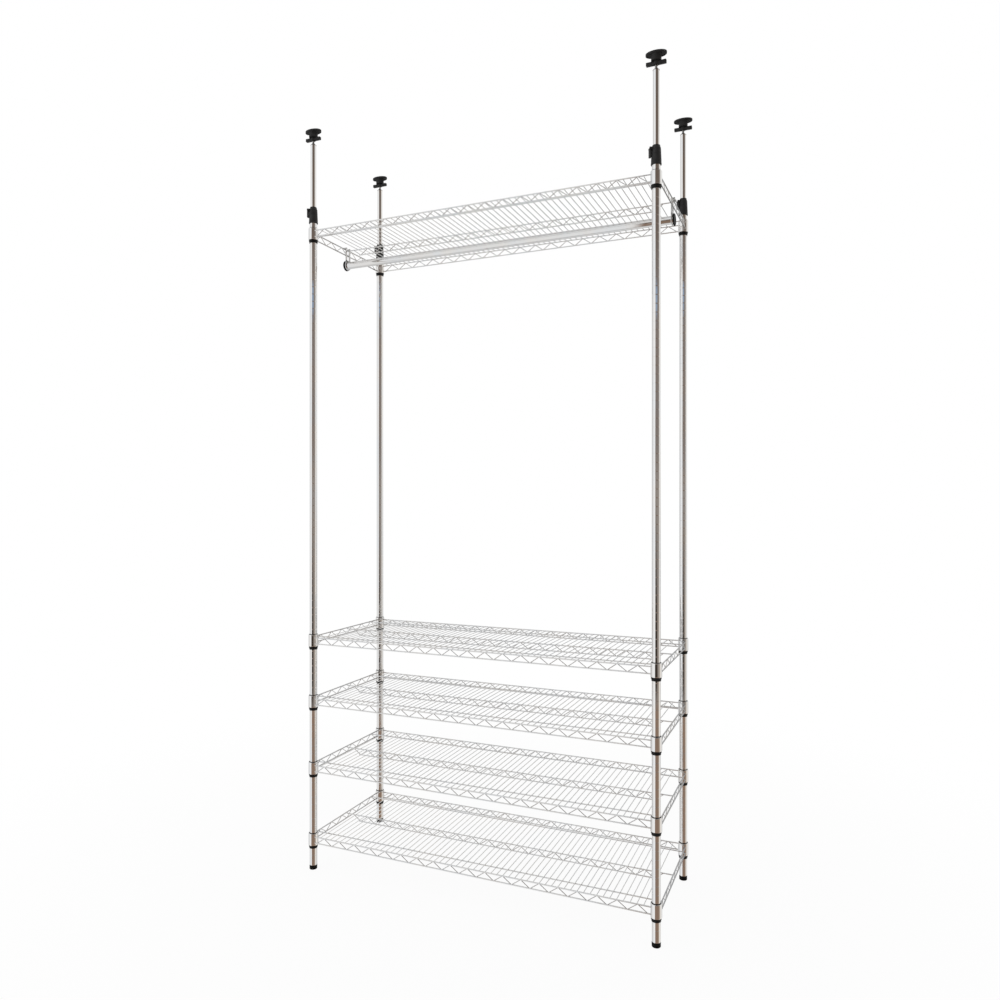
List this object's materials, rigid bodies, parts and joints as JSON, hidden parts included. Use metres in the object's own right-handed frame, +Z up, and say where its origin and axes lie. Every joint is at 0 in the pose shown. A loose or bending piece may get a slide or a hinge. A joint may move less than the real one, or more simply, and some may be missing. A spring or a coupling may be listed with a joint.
{
  "type": "wire shelving unit",
  "caption": "Chrome wire shelving rack braced between floor and ceiling by telescoping poles with screw-jacked pads, with liftable shelves and a hanger bar under its top shelf.",
  "frame": {"origin": "on the floor, midway between the four posts", "axes": "+Z up, +X to the right along the shelves, +Y to the back"},
  "size_m": [1.244, 0.461, 2.5388],
  "materials": {
    "chrome_plate": "bright plated",
    "black_plastic": "moulded"
  },
  "bodies": {
    "frame": {"post_front_left": "chrome_plate", "post_front_right": "chrome_plate", "post_back_left": "chrome_plate", "post_back_right": "chrome_plate", "sleeve_1_front_left": "black_plastic", "sleeve_1_front_right": "black_plastic", "sleeve_1_back_left": "black_plastic", "sleeve_1_back_right": "black_plastic", "sleeve_2_front_left": "black_plastic", "sleeve_2_front_right": "black_plastic", "sleeve_2_back_left": "black_plastic", "sleeve_2_back_right": "black_plastic", "sleeve_3_front_left": "black_plastic", "sleeve_3_front_right": "black_plastic", "sleeve_3_back_left": "black_plastic", "sleeve_3_back_right": "black_plastic", "sleeve_4_front_left": "black_plastic", "sleeve_4_front_right": "black_plastic", "sleeve_4_back_left": "black_plastic", "sleeve_4_back_right": "black_plastic", "sleeve_top_front_left": "black_plastic", "sleeve_top_front_right": "black_plastic", "sleeve_top_back_left": "black_plastic", "sleeve_top_back_right": "black_plastic", "clamp_front_left": "black_plastic", "clamp_front_right": "black_plastic", "clamp_back_left": "black_plastic", "clamp_back_right": "black_plastic"},
    "foot_front_left": {"foot_front_left": "black_plastic"},
    "foot_front_right": {"foot_front_right": "black_plastic"},
    "foot_back_left": {"foot_back_left": "black_plastic"},
    "foot_back_right": {"foot_back_right": "black_plastic"},
    "shelf_1": {"shelf_1": "chrome_plate"},
    "shelf_2": {"shelf_2": "chrome_plate"},
    "shelf_3": {"shelf_3": "chrome_plate"},
    "shelf_4": {"shelf_4": "chrome_plate"},
    "shelf_top": {"shelf_top": "chrome_plate", "hanger_bar": "chrome_plate", "bar_bracket_left": "chrome_plate", "bar_bracket_right": "chrome_plate", "bar_cap_left": "black_plastic", "bar_cap_right": "black_plastic"},
    "pole_front_left": {"pole_front_left": "chrome_plate"},
    "pole_front_right": {"pole_front_right": "chrome_plate"},
    "pole_back_left": {"pole_back_left": "chrome_plate"},
    "pole_back_right": {"pole_back_right": "chrome_plate"},
    "lever_front_left": {"lever_front_left": "black_plastic"},
    "lever_front_right": {"lever_front_right": "black_plastic"},
    "lever_back_left": {"lever_back_left": "black_plastic"},
    "lever_back_right": {"lever_back_right": "black_plastic"},
    "ceiling_pad_front_left": {"ceiling_pad_front_left": "black_plastic"},
    "ceiling_pad_front_right": {"ceiling_pad_front_right": "black_plastic"},
    "ceiling_pad_back_left": {"ceiling_pad_back_left": "black_plastic"},
    "ceiling_pad_back_right": {"ceiling_pad_back_right": "black_plastic"},
    "wing_screw_front_left": {"wing_screw_front_left": "black_plastic"},
    "wing_screw_front_right": {"wing_screw_front_right": "black_plastic"},
    "wing_screw_back_left": {"wing_screw_back_left": "black_plastic"},
    "wing_screw_back_right": {"wing_screw_back_right": "black_plastic"}
  },
  "joints": [
    {"name": "foot_screw_out_front_left", "type": "slide", "parent": "frame", "child": "foot_front_left", "axis": [0, 0, -1], "range_m": [0, 0.012]},
    {"name": "foot_screw_out_front_right", "type": "slide", "parent": "frame", "child": "foot_front_right", "axis": [0, 0, -1], "range_m": [0, 0.012]},
    {"name": "foot_screw_out_back_left", "type": "slide", "parent": "frame", "child": "foot_back_left", "axis": [0, 0, -1], "range_m": [0, 0.012]},
    {"name": "foot_screw_out_back_right", "type": "slide", "parent": "frame", "child": "foot_back_right", "axis": [0, 0, -1], "range_m": [0, 0.012]},
    {"name": "shelf_1_lift", "type": "slide", "parent": "frame", "child": "shelf_1", "axis": [0, 0, 1], "range_m": [0, 0.19]},
    {"name": "shelf_2_lift", "type": "slide", "parent": "frame", "child": "shelf_2", "axis": [0, 0, 1], "range_m": [0, 0.175]},
    {"name": "shelf_3_lift", "type": "slide", "parent": "frame", "child": "shelf_3", "axis": [0, 0, 1], "range_m": [0, 0.155]},
    {"name": "shelf_4_lift", "type": "slide", "parent": "frame", "child": "shelf_4", "axis": [0, 0, 1], "range_m": [0, 1.3]},
    {"name": "shelf_top_lift", "type": "slide", "parent": "frame", "child": "shelf_top", "axis": [0, 0, 1], "range_m": [0, 0.015]},
    {"name": "pole_extend_front_left", "type": "slide", "parent": "frame", "child": "pole_front_left", "axis": [0, 0, 1], "range_m": [-0.2, 0.2]},
    {"name": "pole_extend_front_right", "type": "slide", "parent": "frame", "child": "pole_front_right", "axis": [0, 0, 1], "range_m": [-0.2, 0.2]},
    {"name": "pole_extend_back_left", "type": "slide", "parent": "frame", "child": "pole_back_left", "axis": [0, 0, 1], "range_m": [-0.2, 0.2]},
    {"name": "pole_extend_back_right", "type": "slide", "parent": "frame", "child": "pole_back_right", "axis": [0, 0, 1], "range_m": [-0.2, 0.2]},
    {"name": "clamp_lever_front_left", "type": "hinge", "parent": "frame", "child": "lever_front_left", "pos_m": [-0.60774, -0.22057, 2.2655], "axis": [-0.4226, 0.9063, 0], "range_deg": [0, 100]},
    {"name": "clamp_lever_front_right", "type": "hinge", "parent": "frame", "child": "lever_front_right", "pos_m": [0.57526, -0.22057, 2.2655], "axis": [-0.4226, 0.9063, 0], "range_deg": [0, 100]},
    {"name": "clamp_lever_back_left", "type": "hinge", "parent": "frame", "child": "lever_back_left", "pos_m": [-0.60774, 0.20543, 2.2655], "axis": [-0.4226, 0.9063, 0], "range_deg": [0, 100]},
    {"name": "clamp_lever_back_right", "type": "hinge", "parent": "frame", "child": "lever_back_right", "pos_m": [0.57526, 0.20543, 2.2655], "axis": [-0.4226, 0.9063, 0], "range_deg": [0, 100]},
    {"name": "pad_rise_front_left", "type": "slide", "parent": "pole_front_left", "child": "ceiling_pad_front_left", "axis": [0, 0, 1], "range_m": [0, 0.03]},
    {"name": "wing_turn_front_left", "type": "hinge", "parent": "ceiling_pad_front_left", "child": "wing_screw_front_left", "pos_m": [-0.5915, -0.213, 2.51], "axis": [0, 0, 1], "range_deg": [0, 4320]},
    {"name": "pad_rise_front_right", "type": "slide", "parent": "pole_front_right", "child": "ceiling_pad_front_right", "axis": [0, 0, 1], "range_m": [0, 0.03]},
    {"name": "wing_turn_front_right", "type": "hinge", "parent": "ceiling_pad_front_right", "child": "wing_screw_front_right", "pos_m": [0.5915, -0.213, 2.51], "axis": [0, 0, 1], "range_deg": [0, 4320]},
    {"name": "pad_rise_back_left", "type": "slide", "parent": "pole_back_left", "child": "ceiling_pad_back_left", "axis": [0, 0, 1], "range_m": [0, 0.03]},
    {"name": "wing_turn_back_left", "type": "hinge", "parent": "ceiling_pad_back_left", "child": "wing_screw_back_left", "pos_m": [-0.5915, 0.213, 2.51], "axis": [0, 0, 1], "range_deg": [0, 4320]},
    {"name": "pad_rise_back_right", "type": "slide", "parent": "pole_back_right", "child": "ceiling_pad_back_right", "axis": [0, 0, 1], "range_m": [0, 0.03]},
    {"name": "wing_turn_back_right", "type": "hinge", "parent": "ceiling_pad_back_right", "child": "wing_screw_back_right", "pos_m": [0.5915, 0.213, 2.51], "axis": [0, 0, 1], "range_deg": [0, 4320]}
  ],
  "couplings": [
    {"joint": "pad_rise_front_left", "follows": "wing_turn_front_left", "m_per_rad": 0.00039789},
    {"joint": "pad_rise_front_right", "follows": "wing_turn_front_right", "m_per_rad": 0.00039789},
    {"joint": "pad_rise_back_left", "follows": "wing_turn_back_left", "m_per_rad": 0.00039789},
    {"joint": "pad_rise_back_right", "follows": "wing_turn_back_right", "m_per_rad": 0.00039789}
  ]
}
